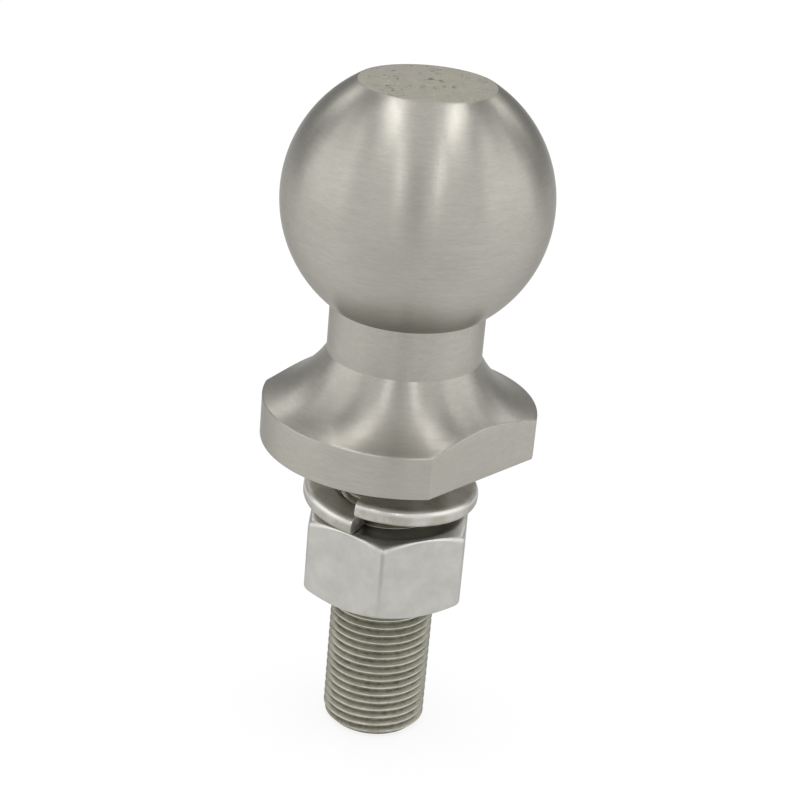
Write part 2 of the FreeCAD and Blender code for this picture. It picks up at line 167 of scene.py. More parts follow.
def flare_centre():
    """Centre of the hollow arc that joins the neck's foot and the rim."""
    across = RIM_RADIUS - NECK_RADIUS
    down = NECK_FOOT - RIM_HEIGHT
    chord = math.hypot(across, down)
    leg = math.sqrt(FLARE_RADIUS ** 2 - (chord / 2) ** 2)
    middle = ((RIM_RADIUS + NECK_RADIUS) / 2, (NECK_FOOT + RIM_HEIGHT) / 2)
    return middle[0] + leg * down / chord, middle[1] + leg * across / chord


FLARE_CENTRE = flare_centre()


def flange_side(reach):
    """Outline of the flange from its underside to the neck's foot, where its side stands at that reach."""
    side = reach - EDGE_BREAK
    fall = math.sqrt((FLARE_RADIUS + EDGE_BREAK) ** 2 - (FLARE_CENTRE[0] - side) ** 2)
    level = FLARE_CENTRE[1] - fall
    lean = math.atan2(FLARE_CENTRE[1] - level, FLARE_CENTRE[0] - side)
    foot = math.atan2(NECK_FOOT - FLARE_CENTRE[1], NECK_RADIUS - FLARE_CENTRE[0])
    shoulder = math.atan2(level - FLARE_CENTRE[1], side - FLARE_CENTRE[0])
    points = straight((SHANK_RADIUS + ROOT_RADIUS, 0), (side, 0), UNDERSIDE_STEPS)
    points += arc((side, EDGE_BREAK), EDGE_BREAK, -QUARTER, 0, EDGE_STEPS)
    points += straight((reach, EDGE_BREAK), (reach, level), SIDE_STEPS)
    points += arc((side, level), EDGE_BREAK, 0, lean, EDGE_STEPS)
    points += arc(FLARE_CENTRE, FLARE_RADIUS, shoulder, foot, FLARE_STEPS)[1:]
    return points


def flat_corner():
    """Turns at which a flat ends and at which the round rim begins, both from the flat's middle."""
    out = RIM_RADIUS - EDGE_BREAK
    corner = math.acos((FLAT_DISTANCE - EDGE_BREAK) / out)
    return math.atan2(out * math.sin(corner), FLAT_DISTANCE), corner


def flat_reach(turn):
    """How far the flange's side stands out at that turn: its round rim or, within the flats, the flat."""
    away = abs(math.remainder(turn, math.pi))
    out = RIM_RADIUS - EDGE_BREAK
    end_of_flat, corner = flat_corner()
    if away >= corner:
        return RIM_RADIUS
    if away <= end_of_flat:
        return FLAT_DISTANCE / math.cos(away)
    off = away - corner
    return out * math.cos(off) + math.sqrt(EDGE_BREAK ** 2 - (out * math.sin(off)) ** 2)


def forging_outline(turn):
    """Outline of the forging at that turn, from the plain shank up to the middle of the crown."""
    neck_head = BALL_HEIGHT - math.sqrt(BALL_RADIUS ** 2 - NECK_RADIUS ** 2)
    ball_start = math.atan2(neck_head - BALL_HEIGHT, NECK_RADIUS)
    ball_end = math.acos(CROWN_RADIUS / BALL_RADIUS)
    break_turn = CROWN_EDGE / BALL_RADIUS
    shank_foot = (SHANK_RADIUS, -PLAIN_SHANK + CROWN_EDGE)
    crown_rim = (CROWN_RADIUS - CROWN_EDGE, CROWN_LEVEL)
    points = [(0, -PLAIN_SHANK), (SHANK_RADIUS - CROWN_EDGE, -PLAIN_SHANK), shank_foot]
    points += straight(shank_foot, (SHANK_RADIUS, -ROOT_RADIUS), SIDE_STEPS)
    points += arc((SHANK_RADIUS + ROOT_RADIUS, -ROOT_RADIUS), ROOT_RADIUS, math.pi, QUARTER, ROOT_STEPS)
    points += flange_side(flat_reach(turn))
    points += straight((NECK_RADIUS, NECK_FOOT), (NECK_RADIUS, neck_head), NECK_STEPS)
    points += arc((0, BALL_HEIGHT), BALL_RADIUS, ball_start, ball_end - break_turn, BALL_STEPS)
    points += [crown_rim]
    points += straight(crown_rim, (0, CROWN_LEVEL), CROWN_STEPS)
    points += [(0, CROWN_LEVEL)]
    return points


def nut_reach(turn):
    """How far the nut's side stands out at that turn, with its six corners rounded."""
    away = abs(math.remainder(turn - NUT_TURN, NUT_SIDE))
    half_side = NUT_SIDE / 2
    centre = (NUT_APOTHEM - NUT_CORNER_RADIUS) / math.cos(half_side)
    end_of_corner = half_side - math.atan2(centre * math.sin(half_side), NUT_APOTHEM)
    if away >= end_of_corner:
        return NUT_APOTHEM / math.cos(half_side - away)
    return centre * math.cos(away) + math.sqrt(NUT_CORNER_RADIUS ** 2 - (centre * math.sin(away)) ** 2)


def nut_half_outline(reach):
    """Upper half of the nut's outline, from the middle of its bore over the top to the middle of its side."""
    mouth_depth = NUT_MOUTH - NUT_BORE
    half_turn = (QUARTER - NUT_CHAMFER) / 2
    fall = (reach - NUT_FACE_RADIUS) * math.tan(NUT_CHAMFER)
    edge = NUT_EDGE + NUT_EDGE_GROWTH * max(reach - NUT_APOTHEM, 0)
    centre = (reach - edge, NUT_HALF - fall - edge * math.tan(half_turn))
    face_rim = (NUT_FACE_RADIUS, NUT_HALF)
    points = [(NUT_BORE, 0)]
    points += straight((NUT_BORE, 0), (NUT_BORE, NUT_HALF - mouth_depth), EDGE_STEPS)
    points += [(NUT_BORE, NUT_HALF - mouth_depth), (NUT_MOUTH, NUT_HALF)]
    points += straight((NUT_MOUTH, NUT_HALF), face_rim, SIDE_STEPS)
    points += [face_rim]
    rounding = arc(centre, edge, QUARTER - NUT_CHAMFER, 0, ROUNDING_STEPS)
    points += straight(face_rim, rounding[0], EDGE_STEPS)
    points += rounding
    points += straight(rounding[-1], (reach, 0), SIDE_STEPS)
    points += [(reach, 0)]
    return points


def nut_outline(turn):
    """Closed outline of the nut at that turn."""
    upper = nut_half_outline(nut_reach(turn))
    lower = [(out, -up) for out, up in reversed(upper[1:-1])]
    return [(out, up + NUT_MIDDLE) for out, up in upper + lower]


def thread_outline():
    """One pitch of the shank's thread, from the middle of one root to the next."""
    root = SHANK_RADIUS - THREAD_DEPTH
    flank_end = (SHANK_RADIUS - THREAD_EDGE, -CREST_FLAT / 2 - THREAD_EDGE / 2)
    half = [
        (root, -PITCH / 2),
        (root, -PITCH / 2 + ROOT_FLAT / 4),
        (root + THREAD_EDGE, -PITCH / 2 + ROOT_FLAT / 2),
    ]
    half += straight(half[-1], flank_end, SIDE_STEPS)
    half += [flank_end, (SHANK_RADIUS, -CREST_FLAT / 2 + THREAD_EDGE)]
    return half + [(out, -up) for out, up in reversed(half)]


def wire_section():
    """Closed keystone section of the washer's wire, taller at the bore, with rounded corners."""
    height = WASHER_THICKNESS / math.cos(SPLIT_SLANT)
    taper = math.atan2(WASHER_KEYSTONE, WASHER_RADIUS - WASHER_BORE)
    outer_leg = WASHER_CORNER * math.tan((QUARTER - taper) / 2)
    inner_leg = WASHER_CORNER * math.tan((QUARTER + taper) / 2)
    outer = (WASHER_RADIUS - WASHER_CORNER, outer_leg)
    inner = (WASHER_BORE + WASHER_CORNER, inner_leg - WASHER_KEYSTONE)
    low = arc(inner, WASHER_CORNER, math.pi, math.pi + QUARTER - taper, ROUNDING_STEPS)
    low += arc(outer, WASHER_CORNER, -QUARTER - taper, 0, ROUNDING_STEPS)
    return low + [(out, height - up) for out, up in reversed(low)]


# Turning, threading and coiling


def forging_turns():
    """Columns of the forging, with extra ones on the four corners between rim and flats."""
    end_of_flat, corner = flat_corner()
    width = corner - end_of_flat
    extra = [corner - width * share for share in (-0.8, 0, 0.33, 0.67, 1, 1.8)]
    extra += [math.pi - turn for turn in extra]
    extra += [-turn for turn in extra]
    even = [FULL * i / FORGING_COLUMNS for i in range(FORGING_COLUMNS)]
    near = 0.6 * FULL / FORGING_COLUMNS
    spaced = [turn for turn in even
              if all(abs(math.remainder(turn - other, FULL)) > near for other in extra)]
    return sorted(turn % FULL for turn in spaced + extra)


def nut_turns():
    """Columns of the nut, set closer towards its six corners."""
    half = [(NUT_SIDE / 2) * (i / NUT_COLUMNS) ** 2 for i in range(1, NUT_COLUMNS)]
    sixth = [-turn for turn in reversed(half)] + [0] + half + [NUT_SIDE / 2]
    return sorted((NUT_TURN + NUT_SIDE * side + turn) % FULL for side in range(NUT_SIDES) for turn in sixth)


def chain(bm, points, closed=False):
    """Row of vertices joined by edges, standing in the XZ plane."""
    verts = [bm.verts.new((out, 0, up)) for out, up in points]
    ends = verts[1:] + verts[:1] if closed else verts[1:]
    edges = [bm.edges.new((a, b)) for a, b in zip(verts, ends)]
    return verts, edges


def turned(outline_at, turns, closed=False):
    """Spins an outline into a solid, then gives each column the outline of its own turn."""
    bm = bmesh.new()
    row = bm.verts.layers.int.new("row")
    verts, edges = chain(bm, outline_at(turns[0]), closed)
    for number, vert in enumerate(verts):
        vert[row] = number
    bmesh.ops.spin(bm, geom=verts + edges, cent=CENTRE, axis=UP, angle=FULL, steps=len(turns),
                   use_merge=True)
    step = FULL / len(turns)
    outlines = [outline_at(turn) for turn in turns]
    for vert in bm.verts:
        column = round(math.atan2(vert.co.y, vert.co.x) / step) % len(turns)
        out, up = outlines[column][vert[row]]
        vert.co = (out * math.cos(turns[column]), out * math.sin(turns[column]), up)
    bmesh.ops.remove_doubles(bm, verts=bm.verts, dist=FINE_WELD)
    bmesh.ops.recalc_face_normals(bm, faces=bm.faces)
    return bm


def close_ends(bm):
    """Caps every open edge loop with one face."""
    bmesh.ops.holes_fill(bm, edges=[edge for edge in bm.edges if edge.is_boundary], sides=0)
    bmesh.ops.recalc_face_normals(bm, faces=bm.faces)


def crest_level(turn):
    """Height of a thread crest at that turn."""
    return CREST_LEVEL + PITCH * (turn - CREST_TURN) / FULL


def wind(bm, verts, edges, turns):
    """Sweeps a row of vertices up the thread's helix."""
    bmesh.ops.spin(bm, geom=verts + edges, cent=CENTRE, axis=UP, dvec=(0, 0, PITCH / THREAD_COLUMNS),
                   angle=FULL * turns, steps=turns * THREAD_COLUMNS)


def move_out(vert, out, wanted):
    """Moves a vertex from its distance to the axis to the wanted one."""
    vert.co.x *= wanted / out
    vert.co.y *= wanted / out


def thread_shank():
    """Threaded stretch of the shank: a swept helix, trimmed to its chamfered end and its run-out."""
    bm = bmesh.new()
    verts, edges = chain(bm, thread_outline())
    first = SHANK_END - 2 * PITCH
    top = -PLAIN_SHANK + TUCK_LENGTH
    turns = math.ceil((top + 2 * PITCH - first) / PITCH)
    start = crest_level(0)
    start += PITCH * math.floor((first - start) / PITCH)
    bmesh.ops.translate(bm, verts=verts, vec=(0, 0, start))
    wind(bm, verts, edges, 1)
    one_turn = bm.verts[:] + bm.edges[:] + bm.faces[:]
    for turn in range(1, turns):
        copied = bmesh.ops.duplicate(bm, geom=one_turn)["geom"]
        copies = [item for item in copied if isinstance(item, bmesh.types.BMVert)]
        bmesh.ops.translate(bm, verts=copies, vec=(0, 0, PITCH * turn))
    bmesh.ops.remove_doubles(bm, verts=bm.verts, dist=WELD)
    end_radius = SHANK_RADIUS - THREAD_DEPTH - LEAD_IN
    for vert in bm.verts:
        out = math.hypot(vert.co.x, vert.co.y)
        fade = min(max((-PLAIN_SHANK - vert.co.z) / RUN_OUT, 0), 1)
        trimmed = max(out, SHANK_RADIUS - THREAD_DEPTH * fade)
        trimmed = min(trimmed, end_radius + max(vert.co.z - SHANK_END, -LEAD_IN))
        if vert.co.z > -PLAIN_SHANK:
            trimmed -= TUCK_DEPTH
        move_out(vert, out, trimmed)
    for level, side in ((SHANK_END, -1), (top, 1)):
        bmesh.ops.bisect_plane(bm, geom=bm.verts[:] + bm.edges[:] + bm.faces[:], dist=WELD,
                               plane_co=(0, 0, level), plane_no=(0, 0, side), clear_outer=True)
    close_ends(bm)
    return bm


def nut_thread():
    """Ridge of the nut's own thread, lying in the shank's groove and sunk into the wall of the bore."""
    bm = bmesh.new()
    crest = CREST_FLAT - THREAD_PLAY
    spread = (NUT_THREAD_ROOT - NUT_THREAD_CREST) * math.tan(FLANK_ANGLE)
    section = [
        (NUT_THREAD_CREST, -crest),
        (NUT_THREAD_ROOT, -crest - spread),
        (NUT_THREAD_ROOT, crest + spread),
        (NUT_THREAD_CREST, crest),
    ]
    verts, edges = chain(bm, section, closed=True)
    first = NUT_LOW + NUT_THREAD_MARGIN
    turns = math.floor((NUT_HIGH - NUT_THREAD_MARGIN - first) / PITCH)
    start = crest_level(0) + PITCH / 2
    start += PITCH * math.ceil((first - start) / PITCH)
    bmesh.ops.translate(bm, verts=verts, vec=(0, 0, start))
    wind(bm, verts, edges, turns)
    close_ends(bm)
    for vert in bm.verts:
        out = math.hypot(vert.co.x, vert.co.y)
        from_end = min(vert.co.z - start + spread, start + turns * PITCH + spread - vert.co.z)
        fade = min(from_end / PITCH, 1)
        move_out(vert, out, NUT_THREAD_ROOT + (out - NUT_THREAD_ROOT) * fade)
    return bm


def coil_washer():
    """One open turn of wire, wound left-handed from its low end, leaning where it lies on the nut."""
    bm = bmesh.new()
    verts, edges = chain(bm, wire_section(), closed=True)
    bmesh.ops.rotate(bm, verts=verts, cent=CENTRE, matrix=Matrix.Rotation(-SPLIT_SLANT, 3, "X"))
    share = 1 - SPLIT_GAP / (FULL * WASHER_RADIUS)
    climb = (0, 0, COIL_RISE * share / WIRE_COLUMNS)
    bmesh.ops.spin(bm, geom=verts + edges, cent=CENTRE, axis=UP, dvec=climb, angle=-FULL * share,
                   steps=WIRE_COLUMNS)
    close_ends(bm)
    ends = [face for face in bm.faces if len(face.verts) > 4]
    rims = list({edge for face in ends for edge in face.edges})
    bmesh.ops.bevel(bm, geom=rims, offset=SPLIT_EDGE, affect="EDGES", segments=2, profile=0.5, material=-1)
    towards = Vector((math.cos(LEAN_TURN), math.sin(LEAN_TURN), 0))
    leaning = Matrix.Rotation(WASHER_LEAN, 3, Vector((-towards.y, towards.x, 0)))
    turning = Matrix.Rotation(SPLIT_TURN, 3, "Z")
    bmesh.ops.rotate(bm, verts=bm.verts, cent=CENTRE, matrix=leaning @ turning)
    lowest = min(vert.co.z for vert in bm.verts)
    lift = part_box("lock_washer")[0].z - lowest
    bmesh.ops.translate(bm, verts=bm.verts, vec=Vector((0, 0, lift)) - towards * WASHER_DRIFT)
    bmesh.ops.recalc_face_normals(bm, faces=bm.faces)
    return bm


def put_in_scene(name, bm, material):
    """Makes a finished mesh an object of the scene, in one material."""
    mesh = bpy.data.meshes.new(name)
    bm.to_mesh(mesh)
    bm.free()
    mesh.materials.append(material)
    item = bpy.data.objects.new(name, mesh)
    bpy.context.scene.collection.objects.link(item)
    return item


def make_piece(name, bm, material, body, node, sharp=SHARP_ANGLE):
    """Makes a finished mesh a piece that rides on a body and stands for a CAD node."""
    piece = put_in_scene(name, bm, material)
    piece.data.shade_smooth()
    piece.data.set_sharp_from_angle(angle=sharp)
    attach(piece, body)
    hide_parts(node)
    return piece


# Painted highlight, with smoother roughness, on the washer and the nut, by how far up a surface faces: first
# where there is none, then where it is full. It comes in just above level and goes out again towards the top.

WASHER_RUB_AND_HIGHLIGHT_COMES = (0.08, 0.35)
WASHER_RUB_AND_HIGHLIGHT_GOES = (0.9, 0.6)
NUT_RUB_AND_HIGHLIGHT_COMES = (0.05, 0.4)
NUT_RUB_AND_HIGHLIGHT_GOES = (0.9, 0.7)
NUT_RUB_AND_HIGHLIGHT_AT_CORNER = 0.25
NUT_RUB_AND_HIGHLIGHT_FROM_CORNER = (math.radians(4), math.radians(20))
NUT_FACE_MARGIN = 0.1 * MM


def mark_rub_and_highlight(piece, share_at):
    """Marks how much smoother, and how much lighter as a painted highlight, each point of a piece is, from
    its place and the way it faces.
    """
    # The worn attribute marks both smoother roughness and a painted highlight.
    worn = piece.data.attributes.new("worn", "FLOAT", "POINT")
    for vert, mark in zip(piece.data.vertices, worn.data):
        mark.value = share_at(vert.co, vert.normal)


def rise(value, none, full):
    """Zero at one value and one at the other, even in between and held beyond."""
    return min(max((value - none) / (full - none), 0), 1)


def washer_rub_and_highlight(place, normal):
    """The washer gets a painted highlight and smoother roughness along its upper outer corner."""
    if normal.x * place.x + normal.y * place.y <= 0:
        return 0.0
    return rise(normal.z, *WASHER_RUB_AND_HIGHLIGHT_COMES) * rise(normal.z, *WASHER_RUB_AND_HIGHLIGHT_GOES)


def nut_rub_and_highlight(place, normal):
    """The nut gets a painted highlight and smoother roughness along the rounding between its sides and its
    upper chamfer, least at its corners.
    """
    if math.hypot(place.x, place.y) < NUT_FACE_RADIUS + NUT_FACE_MARGIN:
        return 0.0
    from_corner = abs(math.remainder(math.atan2(place.y, place.x) - NUT_TURN, NUT_SIDE))
    along = NUT_RUB_AND_HIGHLIGHT_AT_CORNER + (1 - NUT_RUB_AND_HIGHLIGHT_AT_CORNER) * rise(from_corner, *NUT_RUB_AND_HIGHLIGHT_FROM_CORNER)
    return along * rise(normal.z, *NUT_RUB_AND_HIGHLIGHT_COMES) * rise(normal.z, *NUT_RUB_AND_HIGHLIGHT_GOES)


# Nodes


def add(tree, kind, **settings):
    """Adds a node and gives it its settings."""
    node = tree.nodes.new(kind)
    for name, value in settings.items():
        setattr(node, name, value)
    return node


def join(tree, target, value):
    """Links a socket to an input, or sets the input to a plain value or an opaque colour."""
    if isinstance(value, bpy.types.NodeSocket):
        tree.links.new(value, target)
    elif isinstance(value, tuple):
        target.default_value = (*value, 1)
    else:
        target.default_value = value


def feed(tree, node, **inputs):
    """Feeds a node's inputs, named with underscores for spaces, from sockets, values or colours."""
    for name, value in inputs.items():
        join(tree, node.inputs[name.replace("_", " ")], value)
    return node


def maths(tree, operation, a, b=0.0):
    """Result of one sum over sockets or plain values."""
    node = add(tree, "ShaderNodeMath", operation=operation)
    join(tree, node.inputs[0], a)
    join(tree, node.inputs[1], b)
    return node.outputs[0]


def times(tree, a, b):
    """Product of two sockets or plain values."""
    return maths(tree, "MULTIPLY", a, b)


def span(tree, value, low, high, to_low, to_high):
    """Maps a value from one span onto another and holds it there."""
    node = add(tree, "ShaderNodeMapRange")
    feed(tree, node, Value=value, From_Min=low, From_Max=high, To_Min=to_low, To_Max=to_high)
    return node.outputs["Result"]


def ramp(tree, value, stops):
    """Colour ramp over a value. Each stop is a position and a colour."""
    node = add(tree, "ShaderNodeValToRGB")
    elements = node.color_ramp.elements
    while len(elements) < len(stops):
        elements.new(0.5)
    for element, (position, colour) in zip(elements, stops):
        element.position = position
        element.color = (*colour, 1)
    tree.links.new(value, node.inputs["Fac"])
    return node.outputs["Color"]


def blend_colour(tree, share, a, b):
    """Mixes two colours by a share."""
    node = add(tree, "ShaderNodeMix", data_type="RGBA")
    for number, value in ((0, share), (6, a), (7, b)):
        join(tree, node.inputs[number], value)
    return node.outputs[2]


def bump(tree, height, distance):
    """Normal from a height pattern that stands up to that distance."""
    node = feed(tree, add(tree, "ShaderNodeBump"), Height=height, Distance=distance, Strength=1.0)
    return node.outputs["Normal"]


def noise(tree, **inputs):
    """Soft noise at a place, with a fourth coordinate where W is fed."""
    node = add(tree, "ShaderNodeTexNoise", noise_dimensions="4D" if "W" in inputs else "3D")
    return feed(tree, node, **inputs).outputs["Fac"]


def own_place(tree):
    """The piece's own coordinates."""
    return add(tree, "ShaderNodeTexCoord").outputs["Object"]


def round_axis(tree):
    """Distance from the axis, height, and the cosine and sine of the turn round the axis."""
    parts = feed(tree, add(tree, "ShaderNodeSeparateXYZ"), Vector=own_place(tree)).outputs
    squares = maths(tree, "ADD", times(tree, parts["X"], parts["X"]), times(tree, parts["Y"], parts["Y"]))
    out = maths(tree, "SQRT", squares)
    safe = maths(tree, "MAXIMUM", out, MM / 100)
    cosine = maths(tree, "DIVIDE", parts["X"], safe)
    sine = maths(tree, "DIVIDE", parts["Y"], safe)
    return {"out": out, "up": parts["Z"], "cosine": cosine, "sine": sine}


# Effects that the materials share


GRAIN_INPUTS = ("Grooves per metre", "Streaks per turn")
GRAIN_OUTPUTS = ("Height", "Streak")
HANDLED_INPUTS = ("Clouds per metre", "Specks per metre")
HANDLED_OUTPUTS = ("Cloud", "Speck")


def new_group(name, takes, gives):
    """Node group with named numbers going in and coming out."""
    group = bpy.data.node_groups.new(name, "ShaderNodeTree")
    for direction, labels in (("INPUT", takes), ("OUTPUT", gives)):
        for label in labels:
            group.interface.new_socket(name=label, in_out=direction, socket_type="NodeSocketFloat")
    return group, add(group, "NodeGroupInput").outputs, add(group, "NodeGroupOutput")


def lathe_grain_group():
    """Fine grooves that run round the axis: a height for the bump and a light and dark streak."""
    group, given, end = new_group("lathe_grain", GRAIN_INPUTS, GRAIN_OUTPUTS)
    grooves = given["Grooves per metre"]
    streaks = given["Streaks per turn"]
    axis = round_axis(group)
    spread = feed(group, add(group, "ShaderNodeCombineXYZ"), X=times(group, axis["out"], grooves),
                  Y=times(group, axis["up"], grooves), Z=times(group, axis["cosine"], streaks)).outputs[0]
    across = times(group, axis["sine"], streaks)
    fine = noise(group, Vector=spread, W=across, Scale=1.0, Detail=3.0, Roughness=0.62)
    coarse = noise(group, Vector=spread, W=across, Scale=0.31, Detail=2.0, Roughness=0.5)
    streak = maths(group, "ADD", times(group, fine, 0.65), times(group, coarse, 0.35))
    feed(group, end, Height=fine, Streak=streak)
    return group


def cloud_group():
    """Slow mottling and fine speckle of handled steel."""
    group, given, end = new_group("handled_steel", HANDLED_INPUTS, HANDLED_OUTPUTS)
    place = own_place(group)
    cloud = noise(group, Vector=place, Scale=given["Clouds per metre"], Detail=4.0, Roughness=0.6)
    speck = noise(group, Vector=place, Scale=given["Specks per metre"], Detail=2.0, Roughness=0.7)
    feed(group, end, Cloud=cloud, Speck=speck)
    return group


def place_group(tree, group, **inputs):
    """Places a shared effect in a material, with that material's own values."""
    return feed(tree, add(tree, "ShaderNodeGroup", node_tree=group), **inputs).outputs


# Colours of the steels and the relief of their surfaces. Ramps are (position, colour) stops.

STAINLESS_STREAKS = (
    (0.30, (0.377, 0.363, 0.325)),
    (0.50, (0.422, 0.407, 0.367)),
    (0.70, (0.470, 0.454, 0.412)),
)
STAINLESS_WORN = (0.385, 0.372, 0.330)
STAINLESS_EDGE_TINT = (0.58, 0.58, 0.57)
STAINLESS_RELIEF = 0.012 * MM

CROWN_SPECKLE = (
    (0.33, (0.385, 0.375, 0.307)),
    (0.50, (0.475, 0.464, 0.394)),
    (0.66, (0.55, 0.54, 0.468)),
)
CROWN_LILAC = (0.475, 0.445, 0.418)
CROWN_DARK = (0.36, 0.355, 0.30)
CROWN_PIT = (0.13, 0.125, 0.095)
CROWN_EDGE_TINT = (0.58, 0.58, 0.55)
CROWN_RELIEF = 0.03 * MM

# Painted shade deep in the grooves, rising to a painted highlight on the crests.
THREAD_SHADE_AND_HIGHLIGHT_BY_DEPTH = (
    (0.0, (0.27, 0.265, 0.205)),
    (0.55, (0.42, 0.415, 0.345)),
    (0.93, (0.50, 0.49, 0.42)),
    (1.0, (0.58, 0.57, 0.52)),
)
THREAD_DULL = (0.30, 0.29, 0.235)
THREAD_DIRT = (0.13, 0.127, 0.098)
THREAD_EDGE_TINT = (0.55, 0.55, 0.52)
THREAD_RELIEF = 0.008 * MM

SPRING_MOTTLE = (
    (0.36, (0.395, 0.387, 0.34)),
    (0.52, (0.50, 0.49, 0.445)),
    (0.66, (0.57, 0.56, 0.52)),
)
# Painted highlight on the washer's upper outer corner.
SPRING_PAINTED_HIGHLIGHT = (0.68, 0.67, 0.64)
SPRING_EDGE_TINT = (0.6, 0.6, 0.58)
SPRING_RELIEF = 0.003 * MM

PLATING_MOTTLE = (
    (0.3, (0.445, 0.438, 0.408)),
    (0.7, (0.540, 0.533, 0.505)),
)
# Painted shade line down the nut's upright corners.
PLATING_PAINTED_CORNER_SHADE = (0.20, 0.197, 0.170)
# Painted highlight along the rounding round the nut's top.
PLATING_PAINTED_HIGHLIGHT = (0.72, 0.715, 0.69)
PLATING_EDGE_TINT = (0.75, 0.75, 0.75)
PLATING_RELIEF = 0.010 * MM


# Finishes


def new_steel(name, anisotropy, edge_tint):
    """Metal material with its shader, before its colour, roughness and grain are wired."""
    material = bpy.data.materials.new(name)
    material.use_nodes = True
    tree = material.node_tree
    shader = tree.nodes["Principled BSDF"]
    around = add(tree, "ShaderNodeTangent", direction_type="RADIAL", axis="Z").outputs["Tangent"]
    feed(tree, shader, Metallic=1.0, Anisotropic=anisotropy, Anisotropic_Rotation=0.25,
         Specular_Tint=edge_tint, Tangent=around)
    return material, tree, shader


def turned_steel(grain, handled):
    """Satin stainless of the ball, neck and flange, with lathe grain."""
    material, tree, shader = new_steel("turned_stainless", 0.9, STAINLESS_EDGE_TINT)
    marks = place_group(tree, grain, Grooves_per_metre=5200.0, Streaks_per_turn=18.0)
    bristle = place_group(tree, grain, Grooves_per_metre=5200.0, Streaks_per_turn=48.0)
    mottle = place_group(tree, handled, Clouds_per_metre=70.0, Specks_per_metre=2600.0)
    worn = span(tree, mottle["Cloud"], 0.42, 0.68, 0.0, 0.30)
    colour = blend_colour(tree, worn, ramp(tree, marks["Streak"], STAINLESS_STREAKS), STAINLESS_WORN)
    rough = span(tree, mottle["Cloud"], 0.3, 0.7, 0.28, 0.34)
    grooved = bump(tree, bristle["Height"], STAINLESS_RELIEF)
    feed(tree, shader, Base_Color=colour, Roughness=rough, Normal=grooved)
    return material


def struck_steel(handled):
    """Dull crown face, finely speckled and lightly pitted."""
    material, tree, shader = new_steel("crown_stainless", 0.0, CROWN_EDGE_TINT)
    fine = place_group(tree, handled, Clouds_per_metre=260.0, Specks_per_metre=3200.0)
    coarse = place_group(tree, handled, Clouds_per_metre=900.0, Specks_per_metre=1300.0)
    broad = place_group(tree, handled, Clouds_per_metre=110.0, Specks_per_metre=420.0)
    lilac = span(tree, broad["Cloud"], 0.42, 0.56, 0.0, 0.75)
    dark = span(tree, broad["Speck"], 0.40, 0.62, 0.0, 0.25)
    patch = span(tree, fine["Cloud"], 0.47, 0.58, 0.0, 1.0)
    pit = times(tree, span(tree, coarse["Cloud"], 0.56, 0.62, 0.0, 1.0), patch)
    colour = ramp(tree, fine["Speck"], CROWN_SPECKLE)
    colour = blend_colour(tree, lilac, colour, CROWN_LILAC)
    colour = blend_colour(tree, dark, colour, CROWN_DARK)
    colour = blend_colour(tree, times(tree, pit, 0.75), colour, CROWN_PIT)
    rough = span(tree, fine["Speck"], 0.3, 0.7, 0.44, 0.56)
    pitted = bump(tree, maths(tree, "SUBTRACT", coarse["Speck"], times(tree, pit, 1.2)), CROWN_RELIEF)
    feed(tree, shader, Base_Color=colour, Roughness=rough, Normal=pitted)
    return material


def thread_steel(grain, handled):
    """Cut thread of the shank: lighter crests as a painted highlight over rougher grooves darkened as painted
    shade, with dull patches and dirt.
    """
    material, tree, shader = new_steel("cut_thread", 0.5, THREAD_EDGE_TINT)
    marks = place_group(tree, grain, Grooves_per_metre=9000.0, Streaks_per_turn=14.0)
    streaks = place_group(tree, grain, Grooves_per_metre=1300.0, Streaks_per_turn=9.0)
    mottle = place_group(tree, handled, Clouds_per_metre=520.0, Specks_per_metre=3000.0)
    depth = span(tree, round_axis(tree)["out"], SHANK_RADIUS - THREAD_DEPTH, SHANK_RADIUS, 0.0, 1.0)
    dull = span(tree, mottle["Cloud"], 0.35, 0.7, 0.0, 0.35)
    in_groove = span(tree, depth, 0.1, 0.8, 1.0, 0.2)
    dirt = times(tree, span(tree, streaks["Streak"], 0.48, 0.60, 0.0, 0.7), in_groove)
    # Colour by depth: painted shade into the grooves, painted highlight at the crests.
    colour = blend_colour(tree, dull, ramp(tree, depth, THREAD_SHADE_AND_HIGHLIGHT_BY_DEPTH), THREAD_DULL)
    colour = blend_colour(tree, dirt, colour, THREAD_DIRT)
    rough = span(tree, depth, 0.0, 1.0, 0.5, 0.34)
    feed(tree, shader, Base_Color=colour, Roughness=rough, Normal=bump(tree, marks["Height"], THREAD_RELIEF))
    return material


def rub_with_painted_highlight(tree, shader, colour, painted_highlight_colour, rough, smoothing):
    """Feeds a shader with a colour lightened by a painted highlight and a roughness made smoother, both where
    the piece is marked.
    """
    # Where worn, the colour gets a painted highlight and the roughness gets smoother.
    worn = add(tree, "ShaderNodeAttribute", attribute_name="worn").outputs["Fac"]
    smoother = maths(tree, "SUBTRACT", rough, times(tree, worn, smoothing))
    feed(tree, shader, Base_Color=blend_colour(tree, worn, colour, painted_highlight_colour), Roughness=smoother)


def washer_steel(grain, handled):
    """Tumbled spring steel of the lock washer, smoother and lighter, as a painted highlight, along its upper
    outer corners.
    """
    material, tree, shader = new_steel("spring_steel", 0.3, SPRING_EDGE_TINT)
    marks = place_group(tree, grain, Grooves_per_metre=3000.0, Streaks_per_turn=12.0)
    mottle = place_group(tree, handled, Clouds_per_metre=240.0, Specks_per_metre=2200.0)
    colour = ramp(tree, mottle["Cloud"], SPRING_MOTTLE)
    rough = span(tree, mottle["Cloud"], 0.3, 0.7, 0.41, 0.50)
    rub_with_painted_highlight(tree, shader, colour, SPRING_PAINTED_HIGHLIGHT, rough, 0.2)
    feed(tree, shader, Normal=bump(tree, marks["Height"], SPRING_RELIEF))
    return material


